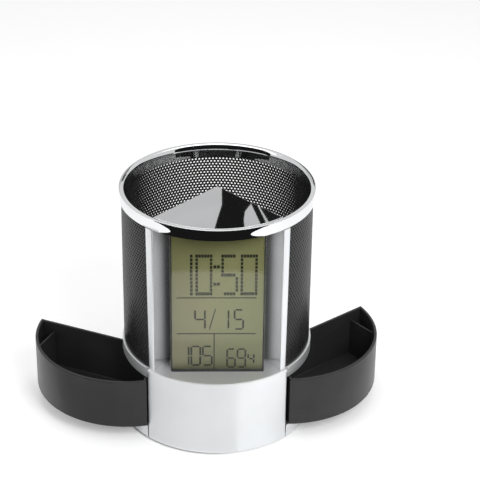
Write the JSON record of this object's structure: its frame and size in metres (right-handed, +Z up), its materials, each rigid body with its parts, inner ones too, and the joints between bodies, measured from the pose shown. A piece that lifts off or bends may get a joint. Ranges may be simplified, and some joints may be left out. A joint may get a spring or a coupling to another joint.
{
  "type": "pen holder clock",
  "caption": "Round desk pen holder: mesh cup with chromed rim, silver front column with a digital clock display, and swing-out drawers in the base.",
  "frame": {"origin": "on the table under the middle of the base, at the underside of the middle foot", "axes": "+Z up, the clock display faces -Y, +X is to the viewer's right"},
  "size_m": [0.1785, 0.0994, 0.1268],
  "materials": {
    "silver_plastic": "satin silver paint on moulded plastic",
    "black_plastic": "satin black moulded plastic",
    "black_mesh": "black painted perforated sheet",
    "chrome": "polished",
    "steel": "plain",
    "brass": "plain",
    "rubber": "matt",
    "clear_lens": "clear moulded plastic",
    "lcd_glass": "liquid crystal panel with a reflective back",
    "white_plastic": "plain",
    "circuit_board": "solder mask",
    "red_wire": "insulated wire"
  },
  "bodies": {
    "base": {"base_plate": "silver_plastic", "base_screw_back": "steel", "base_screw_front": "steel", "battery_cell_1": "steel", "battery_cell_2": "steel", "battery_contact_left": "brass", "battery_contact_right": "brass", "battery_lead": "red_wire", "battery_link_plate": "brass", "board_screw_1": "steel", "board_screw_2": "steel", "board_screw_3": "steel", "board_screw_4": "steel", "bottom_cover": "black_plastic", "button_board": "circuit_board", "button_pad": "rubber", "buzzer": "black_plastic", "clock_chip": "black_plastic", "column_screw": "steel", "cover_screw_1": "steel", "cover_screw_2": "steel", "cover_screw_3": "steel", "cover_screw_4": "steel", "deck": "silver_plastic", "deck_screw_back": "steel", "deck_screw_front": "steel", "display_lens": "clear_lens", "divider_wall": "silver_plastic", "foot_back_left": "rubber", "foot_back_right": "rubber", "foot_centre": "rubber", "foot_front_left": "rubber", "foot_front_right": "rubber", "front_housing": "silver_plastic", "hood": "chrome", "housing_screw_left": "steel", "housing_screw_right": "steel", "lcd_holder": "white_plastic", "lcd_panel": "lcd_glass", "left_pivot_pin": "steel", "main_board": "circuit_board", "mesh_wall": "black_mesh", "quartz_crystal": "steel", "rear_housing": "black_plastic", "ribbon_cable": "white_plastic", "right_pivot_pin": "steel", "rim_ring": "chrome", "temperature_sensor": "steel", "zebra_strip_lower": "rubber", "zebra_strip_upper": "rubber"},
    "left_drawer": {"left_drawer": "black_plastic"},
    "right_drawer": {"right_drawer": "black_plastic"},
    "battery_door": {"battery_door": "black_plastic"},
    "mode_button": {"mode_button": "white_plastic"},
    "set_button": {"set_button": "white_plastic"},
    "up_button": {"up_button": "white_plastic"},
    "down_button": {"down_button": "white_plastic"}
  },
  "joints": [
    {"name": "left_drawer_hinge", "type": "hinge", "parent": "base", "child": "left_drawer", "pos_m": [-0.0318, -0.0304, 0.0217], "axis": [0, 0, 1], "range_deg": [-65, 3]},
    {"name": "right_drawer_hinge", "type": "hinge", "parent": "base", "child": "right_drawer", "pos_m": [0.0318, -0.0304, 0.0217], "axis": [0, 0, -1], "range_deg": [-51.5, 16.5]},
    {"name": "battery_door_hinge", "type": "hinge", "parent": "base", "child": "battery_door", "pos_m": [0, 0.01015, 0.0009], "axis": [-1, 0, 0], "range_deg": [0, 80]},
    {"name": "mode_button_slide", "type": "slide", "parent": "base", "child": "mode_button", "axis": [0, 0, 1], "range_m": [0, 0.0006], "stiffness_N_per_m": 300},
    {"name": "set_button_slide", "type": "slide", "parent": "base", "child": "set_button", "axis": [0, 0, 1], "range_m": [0, 0.0006], "stiffness_N_per_m": 300},
    {"name": "up_button_slide", "type": "slide", "parent": "base", "child": "up_button", "axis": [0, 0, 1], "range_m": [0, 0.0006], "stiffness_N_per_m": 300},
    {"name": "down_button_slide", "type": "slide", "parent": "base", "child": "down_button", "axis": [0, 0, 1], "range_m": [0, 0.0006], "stiffness_N_per_m": 300}
  ]
}
